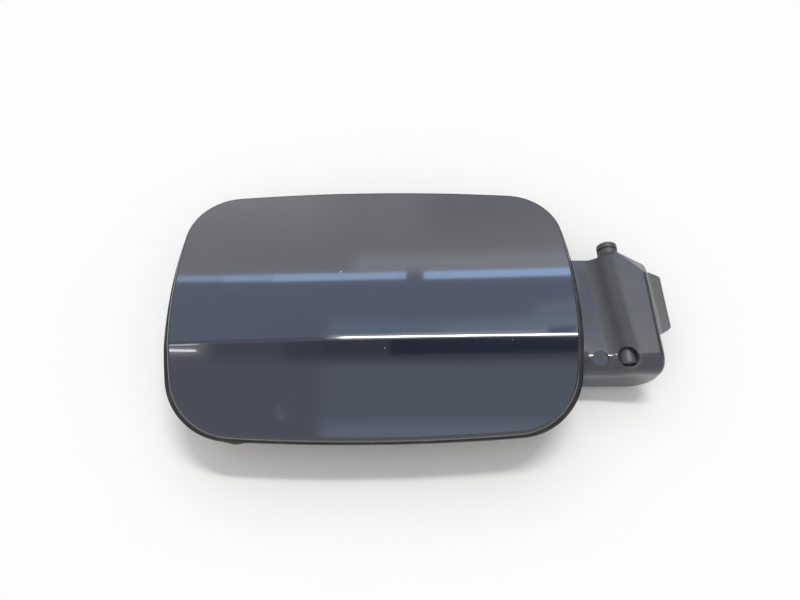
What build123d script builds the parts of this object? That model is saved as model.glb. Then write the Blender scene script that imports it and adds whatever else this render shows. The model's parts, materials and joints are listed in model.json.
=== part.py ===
from build123d import *

import os
from math import acos, cos, degrees, radians, sin, tan

# A car's fuel door lying with its painted face up. Millimetres and degrees.
# The origin is on the bracket's mounting face, straight below the hinge axis and midway between its ears.
# +X runs from the door towards its hinge, +Y is up on the car and +Z points out of the car.

# Panel outline, seen from outside the car
PANEL_WIDTH = 180.7
PANEL_HEIGHT = 124.8
PANEL_GAP = 22.1            # from the panel's hinge-side edge to the hinge axis
SIDE_TAPER = 5.85           # the lower corners stand this much closer together than the upper ones
SIDE_BULGE = 6.7
TOP_BULGE = 3.6
BOTTOM_BULGE = 4.0
EDGE_TILT = 0.8             # the upper and lower edges rise towards the hinge
SIDE_LEAN = 1.2             # the sides lean away from the hinge on their way up
UPPER_CORNER = 25.0
LOWER_CORNER = 29.5

# Panel surface: two gently bowed faces that meet in a crease
PANEL_STANDOFF = 9.0        # from the top of the arm up to the crease
CREASE_DROP = 18.5          # from the panel's middle down to the crease
CREASE_TILT = 1.7
CREASE_RADIUS = 20.0
UPPER_LEAN = 2.5
UPPER_BOW = 1200.0
LOWER_LEAN = 6.5
LOWER_BOW = 900.0
CROWN_RADIUS = 3000.0

# Panel sheets, hem and seal
SKIN = 0.9
INNER_SHEET = 0.8
BOND_GAP = 0.1              # adhesive on each side of the inner sheet
HEM_WIDTH = 6.5
EDGE_RADIUS = 1.4
FLANGE_WIDTH = 10.0
WALL_RUN = 7.0              # how far the inner panel's wall leans in on its way down
SEAL_OVERHANG = 0.4         # how far the seal stands out past the panel's edge
SEAL_FLARE = 2.2            # how much further it stands out at the lower corners
SEAL_WIDTH = 4.0
SEAL_HEIGHT = 3.0
SEAL_ROUND = 1.2
BEAD_WIDTH = 10.0
BEAD_RISE = 2.2
BEAD_START = 22.0           # from the striker to the stiffening beads
BEAD_END = 8.0              # from the beads to the arm's foot
BEAD_SETBACK = 2.0          # the beads lie this much nearer the middle than the buffers
DRAIN_RADIUS = 3.5
DRAIN_SPACING = 48.0
DRAIN_DROP = 6.0

# Hinge pin and bushes
OPEN_ANGLE = 100.0
PIN_RADIUS = 2.5
PIN_CHAMFER = 0.5
PIN_SETBACK = 2.4           # from the far bush's outer end back to the pin
PIN_PROUD = 0.4             # how far the pin stands out of the near bush
PIN_ROOM = 0.8              # from the near bush to the closed end of its bore
BUSH_RADIUS = 4.8
FAR_BUSH_SEAT = 5.0         # how far each bush runs in past the cheek's inner face
NEAR_BUSH_SEAT = 10.0
BUSH_ROUND = 0.8
BUSH_CAP = 1.8              # closed end of the far bush
FAR_BUSH_REACH = 8.0        # how far the far bush stands out of the arm
NEAR_BUSH_SINK = 3.5        # how far the near bush lies inside the arm's side
GROOVE_WIDTH = 1.1
GROOVE_DEPTH = 0.6
RUNNING_GAP = 0.05
SIDE_PLAY = 0.3

# Hinge arm, an inverted box moulding
ARM_FAR = 28.8              # from the middle of the ears to the arm's far and near sides
ARM_NEAR = 30.0
NECK_FAR = 26.0             # the neck's far side stands in from the barrel's
ARM_REACH = 15.0            # from the hinge axis to the arm's outer end
ARM_RISE = 7.0              # from the hinge axis up to the arm's top
ARM_WALL = 2.2
ROOF_WALL = 1.6
SHOULDER_RADIUS = 7.5
END_RADIUS = 2.6
NECK_DROP = 2.7
RAMP_TURN = 4.9             # the ramp lies this much askew to the hinge axis
RAMP_START = 0.6
RAMP_CREST_RADIUS = 12.0
RAMP_FOOT_RADIUS = 9.0
CHEEK_GAP = 1.0             # from the mounting face up to the cheeks' lower edge
CHEEK_CORNER = 13.0
CHEEK_LENGTH = 28.0
CHEEK_RUN = 24.0            # how far the cheeks' lower edge takes to rise to the foot
CORNER_CUT_START = 3.0      # the far outer corner is cut back from here
CORNER_CUT = 4.4
BEVEL_START = 2.3           # a flat bevel across that corner leaves the far side here
BEVEL_LEAN = 34.0
TAPER_START = 8.0           # from the panel's edge in to where the arm narrows
TAPER_RUN = 20.0
FOOT_LENGTH = 56.0          # how far the foot runs in under the panel
FOOT_WIDTH = 40.0
FOOT_WALL = 2.8
FOOT_CORNER = 8.0
BOSS_LENGTH = 20.0
CAM_RADIUS = 5.6
CAM_FLAT = 4.6
RIB = 2.0
RIB_GAP = 8.0               # from the ears' round ends back to the arm's cross rib
KEEL_SPACING = 10.0
KEEL_END = 16.0             # from the foot's end to where the keels run out
KEEL_DEPTH = 1.2
LIP_DEPTH = 2.0             # from the hinge axis down to the edge of the arm's outer wall
BOSS_MARGIN = 0.2           # from the arm's top down to the bosses round the bushes
COLLAR_HEIGHT = 1.4
COLLAR_FOOT = 1.5
COLLAR_RIM = 0.5
SCOOP_X = -1.0
SCOOP_RADIUS = 4.3
SCOOP_LEAN = 30.0
SCOOP_LIFT = 2.2            # from the hinge axis up to the floor of the scoop over the near bush
SCOOP_SETBACK = 4.3         # from the near bush's outer end in to the scoop's floor
DENT_X = -12.9
DENT_RADIUS = 3.6
DENT_DEPTH = 0.6
DENT_LEAN = 12.0

# Pressed bracket
BRACKET_SHEET = 2.5
BEND_RADIUS = 0.6
BASE_GAP = 0.75             # from the bracket's base up to whatever swings over it
SWING_GAP = 1.0             # from the bracket's web to whatever swings past it
STOP_GAP = 0.25
STOP_DROP = 7.0             # from the hinge axis down to the closed stop
STOP_LAND = 3.0             # how much longer the closed stop is than the rib that rests on it
STOP_MARGIN = 0.6
EAR_GAP = 0.4
EAR_FOOT = 8.0              # from the cross rib back to the end of the ears
EAR_STEP = 2.0
TONGUE_DROP = 3.0           # from the hinge axis down to the tongue
TONGUE_REACH = 7.6
TONGUE_LENGTH = 27.2
TONGUE_SHIFT = 7.6
TONGUE_SLANT = 2.7          # the tongue narrows by this much at each end
TONGUE_CORNER = 1.5
PAD_LENGTH = 20.0
PAD_WIDTH = 36.0
PAD_CORNER = 6.0
PAD_FLARE = 3.0
WAIST_X = 2.0               # the base widens towards the tongue from here
FIXING_RADIUS = 2.75
FIXING_SPACING = 20.0
LEAF = 0.6
LEAF_WIDTH = 13.0
LEAF_GAP = 0.05
LEAF_BEND = 1.6
LEAF_TAIL = 5.0
LEAF_STEP = 0.5
LEAF_TIP_GAP = 1.9          # from the leaf's tip to the roof of the open arm
LEAF_TIP_RUN = 1.6
LEAF_TIP_DROP = 1.6
LEAF_RIVET_SETBACK = 7.0    # from the cross rib back to the spring's rivet

# Fasteners and inner fittings
SCREW_RADIUS = 2.4
SCREW_HEAD_RADIUS = 4.4
SCREW_HEAD = 2.6
SCREW_CLEARANCE = 0.2
SCREW_CROWN_RADIUS = 3.5
SCREW_TIP = 1.0
SCREW_FRONT = 22.0          # from the foot's end to the front pair of screws
SCREW_BACK = 8.0
SCREW_SIDE = 12.0
SOCKET_RADIUS = 2.0
SOCKET_DEPTH = 1.6
NUT_ACROSS = 8.0
NUT_HEIGHT = 4.0
RIVET_RADIUS = 1.6
RIVET_HEAD_RADIUS = 3.0
RIVET_TOP_RADIUS = 1.8
RIVET_HEAD = 1.2
RIVET_MARGIN = 1.0
STRIKER_INSET = 31.0        # from the panel's free edge to the striker's blade
STRIKER_WIDTH = 18.0
STRIKER_BLADE = 3.6
STRIKER_FLANGE = 2.5
STRIKER_PLATE = 18.0
STRIKER_CORNER = 5.0
GUSSET_FOOT = 15.0
GUSSET_TIP = 1.0
GUSSET_WALL = 2.4
EYE_RADIUS = 3.6
EYE_HEIGHT = 8.0
BUMPER_RADIUS = 6.5
BUMPER_HEIGHT = 9.0
BUMPER_INSET = 29.0         # from the panel's upper and lower edges
BUMPER_OFFSET = 3.0         # from the striker's blade towards the hinge
BUMPER_NECK = 3.25
BUMPER_BARB = 1.2
BUMPER_TIP = 3.0
BUMPER_NOSE = 2.5
BUMPER_EDGE = 0.8
BUMPER_CHAMFER = 1.2
HOOK_OFFSET = 4.0           # from the panel's middle towards its free edge
HOOK_Y = 12.0
HOOK_WIDTH = 26.0
HOOK_REACH = 15.0
HOOK_WALL = 2.2
HOOK_LIP = 8.0
HOOK_FRONT = 10.0
HOOK_BACK = 11.0
HOOK_FILLET = 1.5
HOOK_RIVET_DROP = 7.0
HOOK_RIVET_SPACING = 17.4

# Places that follow from the sizes above
END_SWING = ((ARM_REACH - END_RADIUS) ** 2 + (ARM_RISE - END_RADIUS) ** 2) ** 0.5 + END_RADIUS
AXIS_HEIGHT = BRACKET_SHEET + BASE_GAP + END_SWING
ARM_TOP = AXIS_HEIGHT + ARM_RISE
NECK_TOP = ARM_TOP - NECK_DROP
FLOOR = NECK_TOP
FLOOR_TOP = FLOOR + INNER_SHEET
RIDGE = ARM_TOP + PANEL_STANDOFF
PANEL_X = -PANEL_GAP - PANEL_WIDTH / 2
PANEL_LEFT = PANEL_X - PANEL_WIDTH / 2
HEM_DEPTH = 2 * SKIN + INNER_SHEET + 2 * BOND_GAP
INNER_TOP = SKIN + BOND_GAP
ARM_WIDTH = ARM_FAR + ARM_NEAR
ARM_MID = (ARM_FAR - ARM_NEAR) / 2
CHEEK_FAR = ARM_FAR - ARM_WALL
CHEEK_NEAR = ARM_NEAR - ARM_WALL
FOOT_END = -PANEL_GAP - FOOT_LENGTH
NECK_UNDER = NECK_TOP - FOOT_WALL
ROOF_RADIUS = ARM_RISE - ROOF_WALL
EAR_RADIUS = ROOF_RADIUS - EAR_GAP
EAR_INNER = BOSS_LENGTH / 2 + SIDE_PLAY
EAR_OUTER = EAR_INNER + BRACKET_SHEET
FAR_BUSH_START = CHEEK_FAR - FAR_BUSH_SEAT
FAR_BUSH_END = ARM_FAR + FAR_BUSH_REACH
NEAR_BUSH_START = CHEEK_NEAR - NEAR_BUSH_SEAT
NEAR_BUSH_END = ARM_NEAR - NEAR_BUSH_SINK
WEB_INNER = END_SWING + SWING_GAP
WEB_OUTER = WEB_INNER + BRACKET_SHEET
TONGUE_TOP = AXIS_HEIGHT - TONGUE_DROP
RIB_X = -(EAR_RADIUS + RIB_GAP)
STOP_Z = AXIS_HEIGHT - STOP_DROP
EAR_BACK = RIB_X - EAR_FOOT
PAD_END = EAR_BACK - PAD_LENGTH
FIXING_X = PAD_END + PAD_LENGTH / 2
LEAF_TOP = AXIS_HEIGHT - CAM_FLAT - LEAF_GAP
LEAF_RIVET_X = RIB_X - LEAF_RIVET_SETBACK
STRIKER_X = PANEL_LEFT + STRIKER_INSET
STRIKER_RIVET_Y = STRIKER_WIDTH / 2 + RIVET_HEAD_RADIUS + RIVET_MARGIN
BUMPER_X = STRIKER_X + BUMPER_OFFSET
BUMPER_Y = PANEL_HEIGHT / 2 - BUMPER_INSET
HOOK_X = PANEL_X - HOOK_OFFSET
HOOK_RIVET_Y = HOOK_Y - HOOK_RIVET_DROP
SCREW_SPOTS = ((FOOT_END + SCREW_FRONT, SCREW_SIDE), (FOOT_END + SCREW_FRONT, -SCREW_SIDE),
               (FOOT_END + SCREW_BACK, 0.0))
TALL = 2 * RIDGE            # height of blocks that only cut or trim
TOUCH = 0.01                # how near two places have to be to count as one
UPRIGHT = (Align.CENTER, Align.CENTER, Align.MIN)
HANGING = (Align.CENTER, Align.CENTER, Align.MAX)


def side_circle(start, end, bulge):
    """Centre, radius and outward direction of one bowed side of the panel."""
    along = end - start
    out = Vector(along.Y, -along.X) / along.length
    radius = (along.length ** 2 / 4 + bulge ** 2) / (2 * bulge)
    return (start + end) / 2 + out * (bulge - radius), radius, out


def meeting_point(first, second, inset, near):
    """Where two neighbouring sides, drawn in by an inset, cross nearest a given place."""
    span = second[0] - first[0]
    reach, other = first[1] - inset, second[1] - inset
    along = (span.length ** 2 + reach ** 2 - other ** 2) / (2 * span.length)
    across = (reach ** 2 - along ** 2) ** 0.5
    unit = span / span.length
    foot = first[0] + unit * along
    normal = Vector(-unit.Y, unit.X) * across
    return min((foot + normal, foot - normal), key=lambda point: (point - near).length)


def outline(inset, z, flare=0.0):
    """The panel's outline as a face at a height, drawn in by an inset and flared at its lower corners."""
    half = PANEL_WIDTH / 2 - SIDE_BULGE
    top = PANEL_HEIGHT / 2 - TOP_BULGE
    bottom = BOTTOM_BULGE - PANEL_HEIGHT / 2
    rise = tan(radians(EDGE_TILT))
    lean = tan(radians(SIDE_LEAN))
    wide = half + SIDE_TAPER / 2
    narrow = half - SIDE_TAPER / 2 + flare
    corners = [Vector(x - lean * y, y + rise * x) for x, y in
               ((-wide, top), (-narrow, bottom), (narrow, bottom), (wide, top))]
    bulges = (SIDE_BULGE, BOTTOM_BULGE, SIDE_BULGE, TOP_BULGE)
    sides = [side_circle(corners[i], corners[(i + 1) % 4], bulges[i]) for i in range(4)]
    meets = [meeting_point(sides[i - 1], sides[i], inset, corners[i]) for i in range(4)]
    arcs = [ThreePointArc(meets[i], centre + out * (radius - inset), meets[(i + 1) % 4])
            for i, (centre, radius, out) in enumerate(sides)]
    face = make_face(arcs)
    face = fillet([v for v in face.vertices() if v.Y > 0], UPPER_CORNER - inset)
    face = fillet([v for v in face.vertices() if v.Y < 0], LOWER_CORNER - inset)
    return Pos(PANEL_X, 0, z) * face


def prism(inset, flare=0.0):
    """The panel's outline as a tall upright block."""
    return extrude(outline(inset, 0, flare), TALL)


def band(top, bottom):
    """The layer between two depths below the panel's outer surface."""

    def crest(angle, depth):
        return (CREASE_RADIUS * sin(radians(angle)), CREASE_RADIUS * (cos(radians(angle)) - 1) - depth)

    def bow(lean, radius, side, depth):
        start = crest(side * lean, depth)
        span = PANEL_HEIGHT / radius
        points = [start]
        for turn in (span / 2, span):
            tip = radians(lean) + turn
            points.append((start[0] + side * radius * (sin(tip) - sin(radians(lean))),
                           start[1] + radius * (cos(tip) - cos(radians(lean)))))
        return points

    def curve(depth):
        upper = bow(UPPER_LEAN, UPPER_BOW, 1, depth)
        lower = bow(LOWER_LEAN, LOWER_BOW, -1, depth)
        mid = crest((UPPER_LEAN - LOWER_LEAN) / 2, depth)
        arcs = [ThreePointArc(*lower), ThreePointArc(lower[0], mid, upper[0]), ThreePointArc(*upper)]
        return arcs, lower[2], upper[2]

    high, high_low_end, high_up_end = curve(top)
    deep, deep_low_end, deep_up_end = curve(bottom)
    sides = [Line(high_low_end, deep_low_end), Line(high_up_end, deep_up_end)]
    section = Plane.YZ * make_face(high + deep + sides)
    sweep_angle = degrees(1.5 * PANEL_WIDTH / CROWN_RADIUS)
    hub = Axis((0, 0, -CROWN_RADIUS), (0, 1, 0))
    layer = revolve(section.rotate(hub, -sweep_angle / 2), axis=hub, revolution_arc=sweep_angle)
    return Pos(PANEL_X, -CREASE_DROP, RIDGE) * Rot(0, 0, CREASE_TILT) * layer


def rim_edges(solid, up):
    """The edges around the upper or lower side of a panel sheet."""
    faces = [f for f in solid.faces() if f.normal_at().Z * up > cos(radians(45))]
    edges = [e for f in faces for e in f.edges()]
    return ShapeList([e for e in edges if sum(e.is_same(other) for other in edges) == 1])


def outer_panel():
    """Painted skin, turned over all round into a hem."""
    block = prism(0) & band(0, HEM_DEPTH)
    block = fillet(rim_edges(block, 1), EDGE_RADIUS)
    slot = prism(SKIN) & band(SKIN, HEM_DEPTH - SKIN)
    mouth = prism(HEM_WIDTH) & band(SKIN, 2 * HEM_DEPTH)
    return block - slot - mouth


def bead(x, y, length, grow):
    """One stiffening bead pressed up into the inner panel's floor."""
    wide = SlotOverall(length + 2 * grow, BEAD_WIDTH + 2 * grow)
    slim = SlotOverall(length + 2 * grow - 2 * BEAD_RISE, BEAD_WIDTH + 2 * grow - 2 * BEAD_RISE)
    return loft([Pos(x, y, FLOOR) * wide, Pos(x, y, FLOOR + BEAD_RISE + grow) * slim])


def inner_panel():
    """Pressed tray whose flange is held in the hem, with a flat floor for the arm and fittings."""
    tray = loft([outline(FLANGE_WIDTH + WALL_RUN, FLOOR), outline(FLANGE_WIDTH, RIDGE)], ruled=True)
    hollow = loft([outline(FLANGE_WIDTH + WALL_RUN + INNER_SHEET, FLOOR_TOP),
                   outline(FLANGE_WIDTH + INNER_SHEET, RIDGE + INNER_SHEET)], ruled=True)
    under_skin = band(INNER_TOP, RIDGE)
    flange = (prism(SKIN + BOND_GAP) & band(INNER_TOP, INNER_TOP + INNER_SHEET)) - hollow
    panel = ((tray - hollow) & under_skin) + flange
    start = STRIKER_X + BEAD_START
    end = FOOT_END - BEAD_END
    middle = (start + end) / 2
    for side in (-1, 1):
        y = side * (BUMPER_Y - BEAD_SETBACK)
        panel += bead(middle, y, end - start, INNER_SHEET)
        panel -= bead(middle, y, end - start, 0)
    holes = [(x, y, SCREW_RADIUS + SCREW_CLEARANCE) for x, y in SCREW_SPOTS]
    for side in (-1, 1):
        holes.append((STRIKER_X, side * STRIKER_RIVET_Y, RIVET_RADIUS))
        holes.append((BUMPER_X, side * BUMPER_Y, BUMPER_NECK))
        holes.append((HOOK_X + side * HOOK_RIVET_SPACING / 2, HOOK_RIVET_Y, RIVET_RADIUS))
        holes.append((middle + side * DRAIN_SPACING / 2, -DRAIN_DROP, DRAIN_RADIUS))
    for x, y, radius in holes:
        panel -= Pos(x, y, FLOOR) * Cylinder(radius, 4 * INNER_SHEET)
    return panel


def edge_seal():
    """Rubber bead under the hem, all round the panel, that stands out past its lower corners."""
    ring = prism(-SEAL_OVERHANG, SEAL_FLARE) - prism(SEAL_WIDTH - SEAL_OVERHANG)
    ring = ring & band(HEM_DEPTH, HEM_DEPTH + SEAL_HEIGHT)
    return fillet(rim_edges(ring, -1), SEAL_ROUND)


def arm_profile():
    """Side view of the arm's outside without its ramp: outer end, top, foot and rounded cheek."""
    turn = CHEEK_CORNER * (1 - cos(radians(45)))
    return make_face([
        Polyline((ARM_REACH, CHEEK_GAP + CHEEK_CORNER), (ARM_REACH, ARM_TOP), (FOOT_END, ARM_TOP),
                 (FOOT_END, NECK_UNDER), (-CHEEK_LENGTH - CHEEK_RUN, NECK_UNDER), (-CHEEK_LENGTH, CHEEK_GAP),
                 (ARM_REACH - CHEEK_CORNER, CHEEK_GAP)),
        ThreePointArc((ARM_REACH - CHEEK_CORNER, CHEEK_GAP), (ARM_REACH - turn, CHEEK_GAP + turn),
                      (ARM_REACH, CHEEK_GAP + CHEEK_CORNER))])


def ramp_cut():
    """What is taken off the top of the arm to leave the sloping ramp and the lower neck."""
    lean = acos(1 - NECK_DROP / (RAMP_CREST_RADIUS + RAMP_FOOT_RADIUS))
    crest = (RAMP_START, ARM_TOP)
    mid = (RAMP_START - RAMP_CREST_RADIUS * sin(lean), ARM_TOP - RAMP_CREST_RADIUS * (1 - cos(lean)))
    toe = (mid[0] - RAMP_FOOT_RADIUS * sin(lean), NECK_TOP)
    crest_mid = (RAMP_START - RAMP_CREST_RADIUS * sin(lean / 2),
                 ARM_TOP - RAMP_CREST_RADIUS * (1 - cos(lean / 2)))
    toe_mid = (toe[0] + RAMP_FOOT_RADIUS * sin(lean / 2), NECK_TOP + RAMP_FOOT_RADIUS * (1 - cos(lean / 2)))
    beyond = FOOT_END - ARM_WIDTH
    face = make_face([ThreePointArc(crest, crest_mid, mid), ThreePointArc(mid, toe_mid, toe),
                      Polyline(toe, (beyond, NECK_TOP), (beyond, RIDGE), (RAMP_START, RIDGE), crest)])
    cut = extrude(Plane.XZ * face, 2 * ARM_WIDTH, both=True)
    return Pos(mid[0], 0, 0) * Rot(0, 0, RAMP_TURN) * Pos(-mid[0], 0, 0) * cut


def arm_plan(inset):
    """Plan of the arm: wide over the hinge, narrower where the foot runs under the panel."""
    far = ARM_FAR - inset
    near = ARM_NEAR - inset
    neck = NECK_FAR - inset
    foot = FOOT_WIDTH / 2 - inset
    start = -PANEL_GAP - TAPER_START
    end = start - TAPER_RUN
    back = FOOT_END + inset
    face = make_face(Polyline(
        (ARM_REACH - inset, -near), (ARM_REACH - inset, far - CORNER_CUT), (CORNER_CUT_START, far),
        (RAMP_START - RAMP_CREST_RADIUS, neck), (start, neck), (end, foot), (back, foot), (back, -foot),
        (end, -foot), (start, -near), (ARM_REACH - inset, -near)))
    ends = [v for v in face.vertices() if abs(v.X - back) < 0.01]
    return fillet(ends, FOOT_CORNER)


def along_axis(radius, start, end):
    """A round bar on the hinge axis between two places along it."""
    return Pos(0, (start + end) / 2, AXIS_HEIGHT) * Rot(90, 0, 0) * Cylinder(radius, end - start)


def corner_bevel(depth):
    """What lies above the flat bevel on the far outer corner, or above a level that deep below it."""
    out = sin(radians(BEVEL_LEAN)) / 2 ** 0.5
    level = Plane((BEVEL_START, ARM_FAR, ARM_TOP), x_dir=(1, -1, 0),
                  z_dir=(out, out, cos(radians(BEVEL_LEAN))))
    return level * Pos(0, 0, -depth) * Box(2 * ARM_WIDTH, 2 * ARM_WIDTH, ARM_WIDTH, align=UPRIGHT)


def leaning_cut(x, y, z, radius, lean):
    """A round cutter with a flat floor at a place, leaning out over the arm's near side."""
    return Pos(x, y, z) * Rot(lean, 0, 0) * Cylinder(radius, TALL, align=UPRIGHT)


def arm_outside():
    """The arm's outer form: ramp, round near shoulder, soft outer end and a bevelled far corner."""
    body = Pos(0, ARM_MID, 0) * extrude(Plane.XZ * arm_profile(), ARM_WIDTH / 2, both=True)
    body -= ramp_cut()
    near_edges = [e for e in body.edges() if max(v.Y for v in e.vertices()) < TOUCH - ARM_NEAR
                  and min(v.Z for v in e.vertices()) > NECK_TOP - TOUCH]
    body = fillet(near_edges, SHOULDER_RADIUS)
    outer_end = [e for e in body.edges() if min(v.X for v in e.vertices()) > ARM_REACH - TOUCH
                 and e.center().Z > AXIS_HEIGHT]
    body = fillet(outer_end, END_RADIUS)
    body = body & extrude(arm_plan(0), TALL)
    return body - corner_bevel(0)


def arm_hollow():
    """The open space inside the arm, under its roof and between its cheeks."""
    lip = AXIS_HEIGHT - LIP_DEPTH
    roof = ARM_TOP - ROOF_WALL
    soft = SHOULDER_RADIUS - ARM_WALL
    neck = extrude(arm_plan(ARM_WALL), NECK_UNDER)
    neck = fillet([e for e in neck.edges() if abs(e.center().Z - NECK_UNDER) < TOUCH
                   and e.center().Y < TOUCH - CHEEK_NEAR], soft)
    barrel = Pos(0, ARM_MID, roof) * Box(ARM_REACH, ARM_WIDTH - 2 * ARM_WALL, roof,
                                         align=(Align.MIN, Align.CENTER, Align.MAX))
    barrel = fillet([e for e in barrel.edges() if abs(e.center().Z - roof) < TOUCH
                     and e.center().Y < TOUCH - CHEEK_NEAR], soft)
    barrel = (barrel & extrude(arm_plan(ARM_WALL), TALL)) - corner_bevel(ROOF_WALL)
    mouth_end = ARM_FAR - CORNER_CUT - ARM_WALL
    mouth = Pos(0, (mouth_end - CHEEK_NEAR) / 2, 0) * Box(
        2 * ARM_REACH, mouth_end + CHEEK_NEAR, lip, align=(Align.MIN, Align.CENTER, Align.MIN))
    return neck + barrel + mouth + along_axis(ROOF_RADIUS, -NEAR_BUSH_START, FAR_BUSH_START)


def arm_inside():
    """Cross rib, keels and the bosses that hold the bushes, before they are trimmed to the arm's form."""
    rib = Pos(RIB_X - RIB, ARM_MID, STOP_Z) * Box(RIB, ARM_WIDTH, NECK_TOP - FOOT_WALL / 2 - STOP_Z,
                                                  align=(Align.MIN, Align.CENTER, Align.MIN))
    high = NECK_UNDER + FOOT_WALL / 2
    start = RIB_X - RIB / 2
    end = FOOT_END + KEEL_END
    keel = make_face(Polyline((start, high), (start, STOP_Z + RIB), (end, NECK_UNDER - KEEL_DEPTH),
                              (end, high), (start, high)))
    keel = extrude(Plane.XZ * keel, RIB / 2, both=True)
    bosses = along_axis(ARM_RISE - BOSS_MARGIN, FAR_BUSH_START, ARM_FAR)
    bosses += along_axis(ARM_RISE - BOSS_MARGIN, -ARM_NEAR, -NEAR_BUSH_START)
    return rib + bosses + Pos(0, KEEL_SPACING / 2, 0) * keel + Pos(0, -KEEL_SPACING / 2, 0) * keel


def hinge_arm():
    """Moulded arm with a cam boss for the detent, bush bores, ribs and screw holes."""
    outside = arm_outside()
    cam = along_axis(CAM_RADIUS, -BOSS_LENGTH / 2, BOSS_LENGTH / 2)
    for facing in (-90, OPEN_ANGLE - 90):
        flat = Box(CAM_RADIUS, ARM_WIDTH, 2 * CAM_RADIUS, align=(Align.MIN, Align.CENTER, Align.CENTER))
        cam -= Pos(0, 0, AXIS_HEIGHT) * Rot(0, -facing, 0) * Pos(CAM_FLAT, 0, 0) * flat
    collar = Pos(0, CHEEK_FAR, AXIS_HEIGHT) * Rot(-90, 0, 0) * Cone(
        BUSH_RADIUS + COLLAR_FOOT, BUSH_RADIUS + COLLAR_RIM, ARM_WALL + COLLAR_HEIGHT, align=UPRIGHT)
    arm = (outside - arm_hollow()) + cam + (arm_inside() & outside) + collar

    arm -= leaning_cut(SCOOP_X, SCOOP_SETBACK - NEAR_BUSH_END, AXIS_HEIGHT + SCOOP_LIFT,
                       SCOOP_RADIUS, SCOOP_LEAN)
    dent_reach = SHOULDER_RADIUS - DENT_DEPTH
    dent_y = SHOULDER_RADIUS - ARM_NEAR - dent_reach * sin(radians(DENT_LEAN))
    dent_z = NECK_TOP - SHOULDER_RADIUS + dent_reach * cos(radians(DENT_LEAN))
    arm -= leaning_cut(DENT_X, dent_y, dent_z, DENT_RADIUS, DENT_LEAN)
    arm -= along_axis(BUSH_RADIUS, -NEAR_BUSH_END - PIN_ROOM, -NEAR_BUSH_START)
    arm -= along_axis(BUSH_RADIUS, FAR_BUSH_START, ARM_WIDTH)
    arm -= along_axis(PIN_RADIUS + RUNNING_GAP, -NEAR_BUSH_START, ARM_WIDTH)
    for x, y in SCREW_SPOTS:
        arm -= Pos(x, y, NECK_TOP) * Cylinder(SCREW_RADIUS + SCREW_CLEARANCE, 4 * FOOT_WALL)
    return arm


def far_bush():
    """Grooved bush that carries the arm on the far end of the pin and stands out past the cheek."""
    bush = along_axis(BUSH_RADIUS, FAR_BUSH_START, FAR_BUSH_END)
    bush = fillet(bush.edges().sort_by(Axis.Y)[-1], BUSH_ROUND)
    groove = ARM_FAR + FAR_BUSH_REACH / 2
    bush -= (along_axis(BUSH_RADIUS, groove, groove + GROOVE_WIDTH)
             - along_axis(BUSH_RADIUS - GROOVE_DEPTH, 0, FAR_BUSH_END))
    return bush - along_axis(PIN_RADIUS + RUNNING_GAP, 0, FAR_BUSH_END - BUSH_CAP)


def near_bush():
    """Short bush in the near cheek."""
    bush = along_axis(BUSH_RADIUS, -NEAR_BUSH_END, -NEAR_BUSH_START)
    bush = fillet(bush.edges().sort_by(Axis.Y)[0], BUSH_ROUND)
    return bush - along_axis(PIN_RADIUS + RUNNING_GAP, -ARM_NEAR, 0)


def hinge_pin():
    """Steel pin, pressed into both ears of the bracket."""
    pin = along_axis(PIN_RADIUS, -NEAR_BUSH_END - PIN_PROUD, FAR_BUSH_END - PIN_SETBACK)
    ends = [e for e in pin.edges() if e.geom_type == GeomType.CIRCLE]
    return chamfer(ends, PIN_CHAMFER)


def ear():
    """One ear of the bracket; its hinge-side edge stops the open door, its shoulder the closed one."""
    swing = radians(OPEN_ANGLE)

    def stop_edge(x):
        """Where the lower edge of the arm's outer wall comes to rest when the door is open."""
        z = -LIP_DEPTH
        return (x * cos(swing) + z * sin(swing) - STOP_GAP, AXIS_HEIGHT + z * cos(swing) - x * sin(swing))

    near = stop_edge(ARM_REACH - ARM_WALL - STOP_MARGIN)
    far = stop_edge(ARM_REACH + STOP_MARGIN)
    slope = (far[0] - near[0]) / (far[1] - near[1])
    foot = (near[0] + slope * (BRACKET_SHEET - near[1]), BRACKET_SHEET)
    round_in = EAR_RADIUS * cos(radians(45))
    stop = STOP_Z - STOP_GAP
    root = BRACKET_SHEET / 2
    plate = make_face(Polyline(
        foot, near, (round_in, AXIS_HEIGHT - round_in), (-round_in, AXIS_HEIGHT + round_in),
        (RIB_X + STOP_LAND / 2, stop), (RIB_X - RIB - STOP_LAND / 2, stop),
        (EAR_BACK, BRACKET_SHEET + EAR_STEP), (EAR_BACK, root), (foot[0], root), foot))
    plate += Pos(0, AXIS_HEIGHT) * Circle(EAR_RADIUS)
    plate -= Pos(0, AXIS_HEIGHT) * Circle(PIN_RADIUS)
    return extrude(Plane.XZ * plate, -BRACKET_SHEET)


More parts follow.
